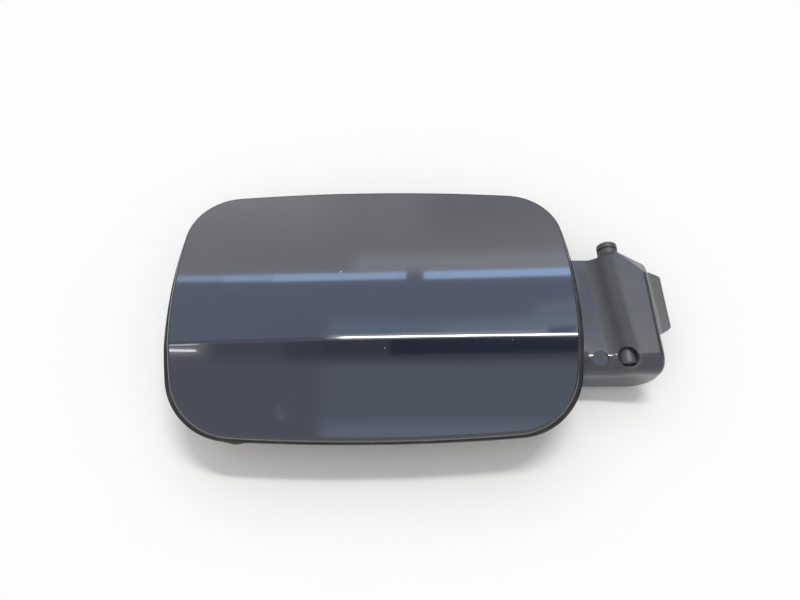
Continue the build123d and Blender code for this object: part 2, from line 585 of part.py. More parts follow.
def tongue(right, low, high):
    """Web that stands up past the arm's outer end, turned out into a tongue that narrows to its tip."""
    tip = WEB_INNER + TONGUE_REACH
    under = TONGUE_TOP - BRACKET_SHEET
    bend = make_face(Polyline((right, 0), (WEB_OUTER, 0), (WEB_OUTER, under), (tip, under),
                              (tip, TONGUE_TOP), (WEB_INNER, TONGUE_TOP), (WEB_INNER, BRACKET_SHEET),
                              (right, BRACKET_SHEET), (right, 0)))

    def corner(x, z):
        return bend.vertices().sort_by_distance((x, z, 0))[0]

    bend = fillet([corner(WEB_OUTER, 0), corner(WEB_INNER, TONGUE_TOP)], BRACKET_SHEET + BEND_RADIUS)
    bend = fillet([corner(WEB_INNER, BRACKET_SHEET), corner(WEB_OUTER, under)], BEND_RADIUS)
    blank = make_face(Polyline((right, low), (WEB_OUTER, low), (tip, low + TONGUE_SLANT),
                               (tip, high - TONGUE_SLANT), (WEB_OUTER, high), (right, high), (right, low)))
    blank = fillet([v for v in blank.vertices() if v.X > tip - TOUCH], TONGUE_CORNER)
    return (Pos(0, high, 0) * extrude(Plane.XZ * bend, high - low)) & extrude(blank, TALL)


def hinge_bracket():
    """Pressed bracket: fixing pad, two ears for the pin, and a tongue turned out past the arm."""
    low = TONGUE_SHIFT - TONGUE_LENGTH / 2 - TONGUE_SLANT
    high = TONGUE_SHIFT + TONGUE_LENGTH / 2 + TONGUE_SLANT
    right = WEB_INNER - BRACKET_SHEET
    flare = EAR_BACK - PAD_FLARE
    side = PAD_WIDTH / 2
    plan = make_face(Polyline(
        (PAD_END, -side), (flare, -side), (EAR_BACK, -EAR_OUTER), (WAIST_X, -EAR_OUTER), (right, low),
        (right, high), (WAIST_X, EAR_OUTER), (EAR_BACK, EAR_OUTER), (flare, side), (PAD_END, side),
        (PAD_END, -side)))
    plan = fillet([v for v in plan.vertices() if v.X < PAD_END + TOUCH], PAD_CORNER)
    bracket = extrude(plan, BRACKET_SHEET) + tongue(right, low, high)
    bracket += Pos(0, EAR_INNER, 0) * ear()
    bracket += Pos(0, -EAR_OUTER, 0) * ear()
    for y in (-FIXING_SPACING / 2, FIXING_SPACING / 2):
        bracket -= Pos(FIXING_X, y, 0) * Cylinder(FIXING_RADIUS, 4 * BRACKET_SHEET)
    return bracket - Pos(LEAF_RIVET_X, 0, 0) * Cylinder(RIVET_RADIUS, 4 * BRACKET_SHEET)


def detent_spring():
    """Leaf that presses on the arm's cam and holds the door shut or open."""
    foot = BRACKET_SHEET + LEAF / 2
    top = LEAF_TOP - LEAF / 2
    tip = ROOF_RADIUS - LEAF_TIP_GAP
    path = FilletPolyline(
        (LEAF_RIVET_X - LEAF_TAIL, foot), (RIB_X + LEAF_STEP, foot), (-CAM_FLAT, top),
        (tip - LEAF_TIP_RUN, top), (tip, top - LEAF_TIP_DROP), radius=LEAF_BEND)
    strip = offset(path, LEAF / 2, side=Side.BOTH, kind=Kind.INTERSECTION)
    leaf = extrude(Plane.XZ * make_face(strip), LEAF_WIDTH / 2, both=True)
    return leaf - Pos(LEAF_RIVET_X, 0, foot) * Cylinder(RIVET_RADIUS, 4 * LEAF)


def rivet(x, y, low, high, heads_low, heads_high):
    """A domed rivet through plates between two heights, with a head below, above or both."""
    shank = Pos(x, y, (low + high) / 2) * Cylinder(RIVET_RADIUS, high - low)
    dome = Cone(RIVET_HEAD_RADIUS, RIVET_TOP_RADIUS, RIVET_HEAD, align=UPRIGHT)
    if heads_high:
        shank += Pos(x, y, high) * dome
    if heads_low:
        shank += Pos(x, y, low) * Rot(180, 0, 0) * dome
    return shank


def arm_screw(x, y):
    """Pan-head screw with a hexagon socket, up through the foot and the inner panel."""
    tip = FLOOR_TOP + NUT_HEIGHT + SCREW_TIP
    shank = Pos(x, y, NECK_UNDER) * Cylinder(SCREW_RADIUS, tip - NECK_UNDER, align=UPRIGHT)
    head = Pos(x, y, NECK_UNDER) * Cone(SCREW_CROWN_RADIUS, SCREW_HEAD_RADIUS, SCREW_HEAD, align=HANGING)
    socket = extrude(Pos(x, y, NECK_UNDER - SCREW_HEAD) * RegularPolygon(SOCKET_RADIUS, 6), SOCKET_DEPTH)
    return shank + head - socket


def arm_nut(x, y):
    """Weld nut on top of the inner panel's floor."""
    nut = extrude(Pos(x, y, FLOOR_TOP) * RegularPolygon(NUT_ACROSS / 2, 6, major_radius=False), NUT_HEIGHT)
    return nut - Pos(x, y, FLOOR_TOP) * Cylinder(SCREW_RADIUS, 3 * NUT_HEIGHT)


def striker():
    """Moulded striker whose eye takes the lock pin; its blade reaches down to the mounting plane."""
    middle = FLOOR - STRIKER_FLANGE / 2
    wide = 2 * (STRIKER_RIVET_Y + RIVET_HEAD_RADIUS + RIVET_MARGIN)
    plate = extrude(RectangleRounded(STRIKER_PLATE, wide, STRIKER_CORNER), STRIKER_FLANGE / 2, both=True)
    tall = FLOOR + 2 * STRIKER_CORNER
    blade = Plane.YZ * Pos(0, tall / 2) * RectangleRounded(STRIKER_WIDTH, tall, STRIKER_CORNER)
    blade = extrude(blade, STRIKER_BLADE / 2, both=True)
    blade = blade & Box(STRIKER_PLATE, STRIKER_WIDTH, middle, align=UPRIGHT)
    foot = GUSSET_FOOT / 2
    tip = GUSSET_TIP / 2
    tip_height = EYE_HEIGHT + EYE_RADIUS + GUSSET_TIP
    gusset = make_face(Polyline((-foot, middle), (foot, middle), (tip, tip_height), (-tip, tip_height),
                                (-foot, middle)))
    gusset = extrude(Plane.XZ * gusset, GUSSET_WALL / 2, both=True)
    body = Pos(STRIKER_X, 0, 0) * (Pos(0, 0, middle) * plate + blade + gusset)
    body -= Pos(STRIKER_X, 0, EYE_HEIGHT) * Rot(0, 90, 0) * Cylinder(EYE_RADIUS, 2 * STRIKER_BLADE)
    for side in (-1, 1):
        body -= Pos(STRIKER_X, side * STRIKER_RIVET_Y, FLOOR) * Cylinder(RIVET_RADIUS, 4 * STRIKER_FLANGE)
    return body


def bumper(x, y):
    """Rubber buffer pushed through the inner panel's floor."""
    low = FLOOR - BUMPER_HEIGHT
    tip = FLOOR_TOP + BUMPER_TIP
    profile = make_face(Polyline(
        (0, low), (BUMPER_RADIUS - BUMPER_NOSE, low), (BUMPER_RADIUS - BUMPER_EDGE, low + BUMPER_CHAMFER),
        (BUMPER_RADIUS, FLOOR), (BUMPER_NECK, FLOOR), (BUMPER_NECK, FLOOR_TOP),
        (BUMPER_NECK + BUMPER_BARB, FLOOR_TOP), (BUMPER_NECK - BUMPER_EDGE, tip), (0, tip), (0, low)))
    return Pos(x, y, 0) * revolve(Plane.XZ * profile, axis=Axis.Z)


def cap_hook():
    """Moulded shelf with a turned-up lip on which the filler cap hangs while the door is open."""
    end = FLOOR - HOOK_REACH
    under = FLOOR - HOOK_WALL
    half = HOOK_WALL / 2
    section = make_face(Polyline(
        (-HOOK_BACK, FLOOR), (HOOK_FRONT, FLOOR), (HOOK_FRONT, under), (half, under), (half, end),
        (HOOK_LIP, end), (HOOK_LIP, end - HOOK_WALL), (-half, end - HOOK_WALL), (-half, under),
        (-HOOK_BACK, under), (-HOOK_BACK, FLOOR)))
    section = fillet([v for v in section.vertices() if abs(v.X - half) < TOUCH], HOOK_FILLET)
    hook = Pos(HOOK_X, HOOK_Y, 0) * extrude(Plane.YZ * section, HOOK_WIDTH / 2, both=True)
    for side in (-1, 1):
        rivet_x = HOOK_X + side * HOOK_RIVET_SPACING / 2
        hook -= Pos(rivet_x, HOOK_RIVET_Y, FLOOR) * Cylinder(RIVET_RADIUS, 4 * HOOK_WALL)
    return hook


def all_parts():
    """Every piece of the fuel door by name."""
    parts = {
        "outer_panel": outer_panel(),
        "inner_panel": inner_panel(),
        "edge_seal": edge_seal(),
        "hinge_arm": hinge_arm(),
        "hinge_bracket": hinge_bracket(),
        "hinge_pin": hinge_pin(),
        "far_bush": far_bush(),
        "near_bush": near_bush(),
        "detent_spring": detent_spring(),
        "spring_rivet": rivet(LEAF_RIVET_X, 0, 0, BRACKET_SHEET + LEAF, False, True),
        "striker": striker(),
        "cap_hook": cap_hook(),
        "upper_bumper": bumper(BUMPER_X, BUMPER_Y),
        "lower_bumper": bumper(BUMPER_X, -BUMPER_Y),
    }
    for number, (x, y) in enumerate(SCREW_SPOTS, 1):
        parts[f"arm_screw_{number}"] = arm_screw(x, y)
        parts[f"arm_nut_{number}"] = arm_nut(x, y)
    for number, side in enumerate((-1, 1), 1):
        parts[f"striker_rivet_{number}"] = rivet(
            STRIKER_X, side * STRIKER_RIVET_Y, FLOOR - STRIKER_FLANGE, FLOOR_TOP, True, True)
        parts[f"hook_rivet_{number}"] = rivet(
            HOOK_X + side * HOOK_RIVET_SPACING / 2, HOOK_RIVET_Y, FLOOR - HOOK_WALL, FLOOR_TOP, True, True)
    return parts


os.makedirs("parts", exist_ok=True)
for name, shape in all_parts().items():
    export_step(shape, f"parts/{name}.step")
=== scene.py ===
"""Looks of a car's fuel door: painted skin, rubber edge, hinge and inner fittings, lying on a pale table."""

from __future__ import annotations

import json
import logging
import math
from dataclasses import dataclass, field, replace
from enum import Enum
from typing import Any, Dict, Iterable, List, Mapping, Optional, Sequence, Tuple, Union

import bmesh
import bpy
import numpy as np
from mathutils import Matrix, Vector

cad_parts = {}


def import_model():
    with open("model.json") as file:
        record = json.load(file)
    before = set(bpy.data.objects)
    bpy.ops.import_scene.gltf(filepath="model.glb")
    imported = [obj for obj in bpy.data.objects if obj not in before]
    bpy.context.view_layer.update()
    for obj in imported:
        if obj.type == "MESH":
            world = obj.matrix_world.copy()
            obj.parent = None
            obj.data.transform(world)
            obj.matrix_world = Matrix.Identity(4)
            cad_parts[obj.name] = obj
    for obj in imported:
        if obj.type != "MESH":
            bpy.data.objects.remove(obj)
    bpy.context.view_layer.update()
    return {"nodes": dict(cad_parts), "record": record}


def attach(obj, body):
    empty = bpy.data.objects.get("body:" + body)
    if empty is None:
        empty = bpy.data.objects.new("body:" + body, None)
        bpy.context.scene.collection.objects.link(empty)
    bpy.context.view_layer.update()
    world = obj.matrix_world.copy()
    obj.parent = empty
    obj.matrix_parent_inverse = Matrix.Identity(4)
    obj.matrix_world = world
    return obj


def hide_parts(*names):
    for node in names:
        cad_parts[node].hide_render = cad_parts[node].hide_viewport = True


LOG = logging.getLogger("fuel_door")
MM = 0.001
Colour = Tuple[float, float, float]
Span = Tuple[float, float]
Term = Union["Sock", float, Sequence[float]]
WINDOW_BEND = (0.228, 0.0205)
LAMP_BEND = (-0.1, -0.2)


class Sock:
    """A shader socket that can stand in a Python expression."""

    def __init__(self, graph: "Graph", socket: bpy.types.NodeSocket) -> None:
        """Keeps a socket together with the graph that it belongs to."""
        self.graph = graph
        self.socket = socket

    def _join(self, operation: str, first: Term, second: Term) -> "Sock":
        """Adds the node for one operation on two terms.

        Args:
            operation: Name of the Math or Vector Math operation.
            first: Left term.
            second: Right term.

        Returns:
            The result.
        """
        if self.socket.type == "VECTOR":
            terms = [(term,) * 3 if isinstance(term, (int, float)) else term for term in (first, second)]
            return self.graph.node("ShaderNodeVectorMath", {"operation": operation}, dict(enumerate(terms)))
        return self.graph.node("ShaderNodeMath", {"operation": operation}, {0: first, 1: second})

    def __add__(self, other: Term) -> "Sock":
        """Sum."""
        return self._join("ADD", self, other)

    def __radd__(self, other: Term) -> "Sock":
        """Sum with a number on the left."""
        return self._join("ADD", other, self)

    def __sub__(self, other: Term) -> "Sock":
        """Difference."""
        return self._join("SUBTRACT", self, other)

    def __rsub__(self, other: Term) -> "Sock":
        """Difference with a number on the left."""
        return self._join("SUBTRACT", other, self)

    def __mul__(self, other: Term) -> "Sock":
        """Product."""
        return self._join("MULTIPLY", self, other)

    def __rmul__(self, other: Term) -> "Sock":
        """Product with a number on the left."""
        return self._join("MULTIPLY", other, self)

    def rise(self, low: float, high: float) -> "Sock":
        """Smooth step from 0 at the low value to 1 at the high one."""
        sockets = {0: self, 1: low, 2: high, 3: 0.0, 4: 1.0}
        return self.graph.node("ShaderNodeMapRange", {"interpolation_type": "SMOOTHSTEP"}, sockets)

    def fall(self, low: float, high: float) -> "Sock":
        """Smooth step from 1 at the low value to 0 at the high one."""
        return 1 - self.rise(low, high)

    def within(self, span: Span, soft: float) -> "Sock":
        """Mask that is 1 inside a span, with soft ends of a given width."""
        half = soft / 2
        return self.rise(span[0] - half, span[0] + half) * self.fall(span[1] - half, span[1] + half)


class Graph:
    """Adds nodes to one node tree."""

    def __init__(self, tree: bpy.types.NodeTree) -> None:
        """Starts on a node tree."""
        self.tree = tree

    def feed(self, socket: bpy.types.NodeSocket, term: Term) -> None:
        """Links a socket to a term, or sets it to a plain value."""
        if isinstance(term, Sock):
            self.tree.links.new(term.socket, socket)
        elif socket.type == "RGBA":
            socket.default_value = (*term, 1.0)
        else:
            socket.default_value = term

    def node(self, kind: str, settings: Optional[Mapping[str, Any]] = None,
             sockets: Optional[Mapping[Union[str, int], Term]] = None, output: Union[str, int] = 0) -> Sock:
        """Adds any node.

        Args:
            kind: The node's type.
            settings: Its properties, which are set first.
            sockets: Values or links of its inputs, by name or place.
            output: The output that is wanted.

        Returns:
            That output.
        """
        made = self.tree.nodes.new(kind)
        for name, value in (settings or {}).items():
            setattr(made, name, value)
        for key, term in (sockets or {}).items():
            self.feed(made.inputs[key], term)
        return Sock(self, made.outputs[output])

    def place(self) -> Sock:
        """The place on the piece in millimetres, in the part's own frame."""
        return self.node("ShaderNodeTexCoord", output="Object") * (1 / MM)

    def split(self, vector: Sock) -> Tuple[Sock, Sock, Sock]:
        """The three parts of a vector."""
        made = self.node("ShaderNodeSeparateXYZ", sockets={0: vector})
        return tuple(Sock(self, made.socket.node.outputs[i]) for i in range(3))

    def noise(self, place: Sock, size: float, detail: float = 2.0, rough: float = 0.5) -> Sock:
        """Cloudy noise from 0 to 1 with lumps of about a given size in millimetres."""
        return self.node("ShaderNodeTexNoise", {}, {"Vector": place, "Scale": 1 / size, "Detail": detail,
                                                    "Roughness": rough})

    def specks(self, place: Sock, size: float, reach: float) -> Sock:
        """Separate round specks: one for each cell of a given size, some of them left out."""
        cells = {"Vector": place, "Scale": 1 / size}
        near = self.node("ShaderNodeTexVoronoi", {}, cells)
        lot = self.split(self.node("ShaderNodeTexVoronoi", {}, cells, "Color"))[0]
        return near.fall(reach * 0.4, reach) * lot.rise(0.55, 0.6)

    def mix(self, share: Term, first: Term, second: Term) -> Sock:
        """Colour between two colours."""
        return self.node("ShaderNodeMix", {"data_type": "RGBA"}, {0: share, 6: first, 7: second}, 2)

    def distance(self, place: Sock, spot: Sequence[float]) -> Sock:
        """Distance in millimetres from a spot."""
        return self.node("ShaderNodeVectorMath", {"operation": "DISTANCE"}, {0: place, 1: spot}, "Value")

    def rounded(self, radius: float) -> Sock:
        """Normal of a solid whose edges are rounded by a given radius in millimetres."""
        return self.node("ShaderNodeBevel", {"samples": 6}, {"Radius": radius * MM})

    def edges(self, radius: float, low: float, high: float) -> Sock:
        """Mask of a solid's edges, as wide as a rounding of a given radius in millimetres."""
        flat = self.node("ShaderNodeNewGeometry", output="Normal")
        pair = {0: self.rounded(radius), 1: flat}
        dot = self.node("ShaderNodeVectorMath", {"operation": "DOT_PRODUCT"}, pair, "Value")
        return (1 - dot).rise(low, high)

    def bump(self, height: Sock, depth: float, strength: float = 1.0, edge: float = 0.0) -> Sock:
        """Normal of a relief.

        Args:
            height: The relief from 0 to 1.
            depth: Its depth in millimetres.
            strength: How much of it shows.
            edge: Radius in millimetres that softens the solid's edges, or 0.

        Returns:
            The normal.
        """
        sockets = {"Strength": strength, "Distance": depth * MM, "Height": height}
        if edge:
            sockets["Normal"] = self.rounded(edge)
        return self.node("ShaderNodeBump", {}, sockets)


@dataclass(frozen=True)
class Finish:
    """A surface finish; each kind adds its own detail."""

    name: str
    colour: Colour
    roughness: float
    metallic: float = 0.0
    coat: float = 0.0
    coat_roughness: float = 0.03
    specular: float = 0.5

    def material(self) -> bpy.types.Material:
        """Makes the material.

        Returns:
            A material with this finish.
        """
        made = bpy.data.materials.new(self.name)
        made.use_nodes = True
        shader = made.node_tree.nodes["Principled BSDF"]
        fixed = {"Metallic": self.metallic, "Roughness": self.roughness, "Coat Weight": self.coat,
                 "Coat Roughness": self.coat_roughness, "Specular IOR Level": self.specular}
        for socket, value in fixed.items():
            shader.inputs[socket].default_value = value
        graph = Graph(made.node_tree)
        for socket, term in self.detail(graph, graph.place()).items():
            graph.feed(shader.inputs[socket], term)
        return made

    def detail(self, graph: Graph, place: Sock) -> Dict[str, Term]:
        """What changes over the surface, by shader socket."""
        raise NotImplementedError


@dataclass(frozen=True)
class BodyPaint(Finish):
    """Near-black body paint under a clear coat, with the few marks of a used door."""

    dust: Colour = (0.30, 0.30, 0.31)
    chip: Tuple[float, float, float] = (-127.75, 13.98, 32.92)
    chip_size: float = 0.5
    chip_stretch: Tuple[float, float, float] = (1.0, 0.6, 1.0)
    bare: Colour = (0.75, 0.77, 0.80)
    speck: Tuple[float, float, float] = (-107.33, -24.24, 34.6)
    smudge: Tuple[float, float] = (-148.3, -51.1)
    smudge_radius: float = 3.55
    smudge_bite: float = 0.55

    def detail(self, graph: Graph, place: Sock) -> Dict[str, Term]:
        """Faint cloudiness, wipe marks, dust, one chip, one bright speck and a crescent smudge."""
        cloud = graph.noise(place, 38.0, 3.0)
        wiped = graph.noise(place * (0.07, 1.0, 1.0), 1.4, 2.0)
        wipe = wiped.rise(0.60, 0.72) * graph.noise(place, 22.0).rise(0.45, 0.65)
        dust = graph.specks(place, 6.5, 0.045)
        ragged = (place + graph.noise(place, 0.5) * 0.2) * self.chip_stretch
        chip_spot = [part * stretch for part, stretch in zip(self.chip, self.chip_stretch)]
        chip = graph.distance(ragged, chip_spot).fall(0.2, self.chip_size)
        speck = graph.distance(place, self.speck).fall(0.15, 0.4)
        flat = place * (1.0, 1.0, 0.0)
        size = self.smudge_radius
        disc = graph.distance(flat, (*self.smudge, 0.0)).fall(size - 1.0, size + 0.8)
        bite = [part + size * self.smudge_bite for part in self.smudge]
        crescent = disc * graph.distance(flat, (*bite, 0.0)).rise(size - 1.4, size + 1.0)
        smudge = crescent * graph.noise(place, 2.2).rise(0.2, 0.6)
        marks = graph.mix(dust * 0.2 + wipe * 0.010 + smudge * 0.06, self.colour, self.dust)
        marks = graph.mix(chip, marks, self.bare)
        marks = graph.mix(speck * 0.4, marks, self.bare)
        peel = graph.noise(place, 1.7, 1.0)
        return {"Base Color": marks,
                "Roughness": self.roughness + cloud * 0.02 + wipe * 0.04 + smudge * 0.15 + dust * 0.2,
                "Coat Weight": (self.coat - smudge * 0.2 - dust * 0.3) * (1 - chip),
                "Normal": graph.bump(peel, 0.004, 0.5)}


@dataclass(frozen=True)
class Moulding(Finish):
    """Painted moulding of the hinge arm, with worn edges that also carry painted highlights, a dull ramp and
    painted light inside the scoop.
    """

    # Grey of the worn edges, which also stands for painted highlights along them.
    wear_and_highlight: Colour = (0.30, 0.31, 0.32)
    # Dust colour; the painted light in the scoop and the lift of the dull places also mix towards it.
    dust: Colour = (0.22, 0.22, 0.225)
    ramp: Span = (-10.8, 1.8)
    ramp_skew: float = 0.0857
    ramp_blend: float = 4.5
    shoulder: float = -23.0
    shoulder_blend: float = 1.5
    shoulder_strip: Span = (-4.0, 2.0)
    neck_end: float = -17.8
    neck_blend: float = 0.7
    scoop: Tuple[float, float, float] = (0.0, -24.0, 23.0)
    scoop_size: float = 4.5

    def detail(self, graph: Graph, place: Sock) -> Dict[str, Term]:
        """Soft moulded waviness, fine grain, worn edges with painted highlights, a film of dust, the dull
        places and painted light in the scoop.
        """
        wave = graph.noise(place, 11.0, 1.0)
        grain = graph.noise(place, 0.6, 2.0)
        # Edge mask: partly wear, partly painted highlights along the arm's edges.
        wear_and_highlight_mask = graph.edges(0.6, 0.04, 0.2) * graph.noise(place, 1.6, 3.0).rise(0.52, 0.7)
        film = graph.noise(place, 7.0, 4.0).rise(0.45, 0.8)
        colour = graph.mix(film * 0.02 + graph.specks(place, 3.6, 0.06) * 0.2, self.colour, self.dust)
        east, north, _ = graph.split(place)
        on_top = north.rise(self.shoulder - self.shoulder_blend, self.shoulder + self.shoulder_blend)
        ramp = (east + north * self.ramp_skew).within(self.ramp, self.ramp_blend) * on_top
        strip = tuple(self.shoulder + end for end in self.shoulder_strip)
        on_neck = east.fall(self.neck_end - self.neck_blend, self.neck_end + self.neck_blend)
        dull = ramp + on_neck * north.within(strip, self.shoulder_blend)
        # Painted light: the inside of the scoop is lightened towards the dust colour.
        scoop = graph.distance(place, self.scoop).fall(self.scoop_size - 1, self.scoop_size + 0.7)
        colour = graph.mix(scoop * 0.45 + dull * 0.12, colour, self.dust)
        return {"Base Color": graph.mix(wear_and_highlight_mask * 0.3, colour, self.wear_and_highlight),
                "Roughness": self.roughness + film * 0.08 + wear_and_highlight_mask * 0.15 + dull * 0.3,
                "Coat Weight": self.coat * (1 - dull),
                "Normal": graph.bump(wave + grain * 0.03, 0.07, 0.5, edge=0.7)}


@dataclass(frozen=True)
class SatinCoat(Finish):
    """Thin satin coat on pressed steel, worn to grey metal along its edges."""

    worn: Colour = (0.36, 0.36, 0.37)
    dust: Colour = (0.20, 0.195, 0.185)
    wear: float = 0.6

    def detail(self, graph: Graph, place: Sock) -> Dict[str, Term]:
        """Fine orange peel, faint runs, dusty film and bright worn edges."""
        peel = graph.noise(place, 0.9, 2.0)
        runs = graph.noise(place * (1.0, 0.25, 1.0), 7.0, 2.0)
        film = graph.noise(place, 5.0, 4.0).rise(0.42, 0.8)
        edge = graph.edges(0.5, 0.04, 0.22) * graph.noise(place, 1.1, 3.0).rise(0.46, 0.62)
        colour = graph.mix(film * 0.08, self.colour, self.dust)
        return {"Base Color": graph.mix(edge * self.wear, colour, self.worn),
                "Metallic": edge * self.wear,
                "Roughness": self.roughness + runs * 0.10 + film * 0.10 - edge * 0.08,
                "Normal": graph.bump(peel + runs * 0.5, 0.02, 0.6, edge=0.35)}


@dataclass(frozen=True)
class Rubber(Finish):
    """Matt rubber with a chalky bloom."""

    bloom: Colour = (0.085, 0.085, 0.088)

    def detail(self, graph: Graph, place: Sock) -> Dict[str, Term]:
        """Pitted skin, a grey bloom in patches and a few dust specks."""
        skin = graph.noise(place, 0.5, 3.0)
        bloom = graph.noise(place, 8.0, 4.0).rise(0.42, 0.75)
        colour = graph.mix(bloom * 0.4 + graph.specks(place, 2.0, 0.09) * 0.5, self.colour, self.bloom)
        return {"Base Color": colour, "Roughness": self.roughness + bloom * 0.2 - skin * 0.1,
                "Normal": graph.bump(skin, 0.05, 0.6)}


@dataclass(frozen=True)
class Nylon(Finish):
    """Spark-grained moulded nylon with polished edges."""

    polished: Colour = (0.11, 0.11, 0.115)

    def detail(self, graph: Graph, place: Sock) -> Dict[str, Term]:
        """Sparkled grain, flow marks and edges that handling has polished."""
        grain = graph.noise(place, 0.28, 2.0, 0.7)
        flow = graph.noise(place * (1.0, 1.0, 0.3), 5.0, 3.0)
        edge = graph.edges(0.45, 0.04, 0.2)
        colour = graph.mix(edge * 0.35 + flow.rise(0.4, 0.8) * 0.12, self.colour, self.polished)
        return {"Base Color": colour, "Roughness": self.roughness + flow * 0.12 - edge * 0.15,
                "Normal": graph.bump(grain, 0.02, 0.4, edge=0.4)}


class Lay(Enum):
    """Which way the fine lines of a metal surface run, as a stretch along each axis."""

    ALONG_Y = (1.0, 0.06, 1.0)
    ALONG_X = (0.06, 1.0, 1.0)
    ROUND = (1.0, 1.0, 0.12)


@dataclass(frozen=True)
class Metal(Finish):
    """Bare or plated steel with fine lines and a little tarnish."""

    tarnish: Colour = (0.30, 0.28, 0.24)
    lay: Lay = Lay.ROUND

    def detail(self, graph: Graph, place: Sock) -> Dict[str, Term]:
        """Fine lines, cloudy plating and dull patches."""
        lines = graph.noise(place * self.lay.value, 0.22, 2.0)
        cloud = graph.noise(place, 2.2, 4.0)
        dull = cloud.rise(0.45, 0.75)
        return {"Base Color": graph.mix(dull * 0.5, self.colour, self.tarnish),
                "Roughness": self.roughness + dull * 0.2 + lines * 0.12,
                "Normal": graph.bump(lines, 0.012, 0.5)}


@dataclass(frozen=True)
class Table(Finish):
    """Plain pale table top."""

    def detail(self, graph: Graph, place: Sock) -> Dict[str, Term]:
        """The faintest change of tone."""
        tone = graph.noise(place, 160.0, 2.0)
        paler = tuple(min(1.0, part * 1.015) for part in self.colour)
        return {"Base Color": graph.mix(tone, self.colour, paler)}


class Finishes:
    """All the finishes of the door, made once."""

    def __init__(self) -> None:
        """Makes every material, by the name of its slot in the record."""
        black = (0.0105, 0.0120, 0.0175)
        self.by_slot = {finish.name: finish.material() for finish in (
            BodyPaint("body_paint", black, 0.05, coat=1.0, coat_roughness=0.012),
            SatinCoat("inner_paint", (0.020, 0.0215, 0.026), 0.34, wear=0.12, coat=0.25, coat_roughness=0.12),
            Rubber("seal_rubber", (0.0095, 0.0098, 0.0108), 0.55),
            Moulding("arm_moulding", (0.030, 0.032, 0.040), 0.2, coat=1.0, coat_roughness=0.05, specular=0.2),
            SatinCoat("bracket_coat", (0.022, 0.0225, 0.0245), 0.36, coat=0.5, coat_roughness=0.22),
            Metal("pin_steel", (0.56, 0.56, 0.55), 0.24, metallic=1.0),
            Metal("spring_steel", (0.20, 0.215, 0.26), 0.28, metallic=1.0, lay=Lay.ALONG_X),
            Nylon("bush_nylon", (0.058, 0.060, 0.066), 0.36),
            Nylon("fitting_nylon", (0.017, 0.017, 0.0185), 0.42),
            Rubber("bumper_rubber", (0.013, 0.013, 0.0135), 0.6),
            Metal("fastener_zinc", (0.62, 0.60, 0.52), 0.30, metallic=1.0),
            Metal("rivet_zinc", (0.60, 0.60, 0.59), 0.34, metallic=1.0))}

    def dress(self, piece: bpy.types.Object, slot: str) -> None:
        """Gives a piece one finish, in all its material slots."""
        if not piece.material_slots:
            piece.data.materials.append(None)
        for place in piece.material_slots:
            place.material = self.by_slot[slot]


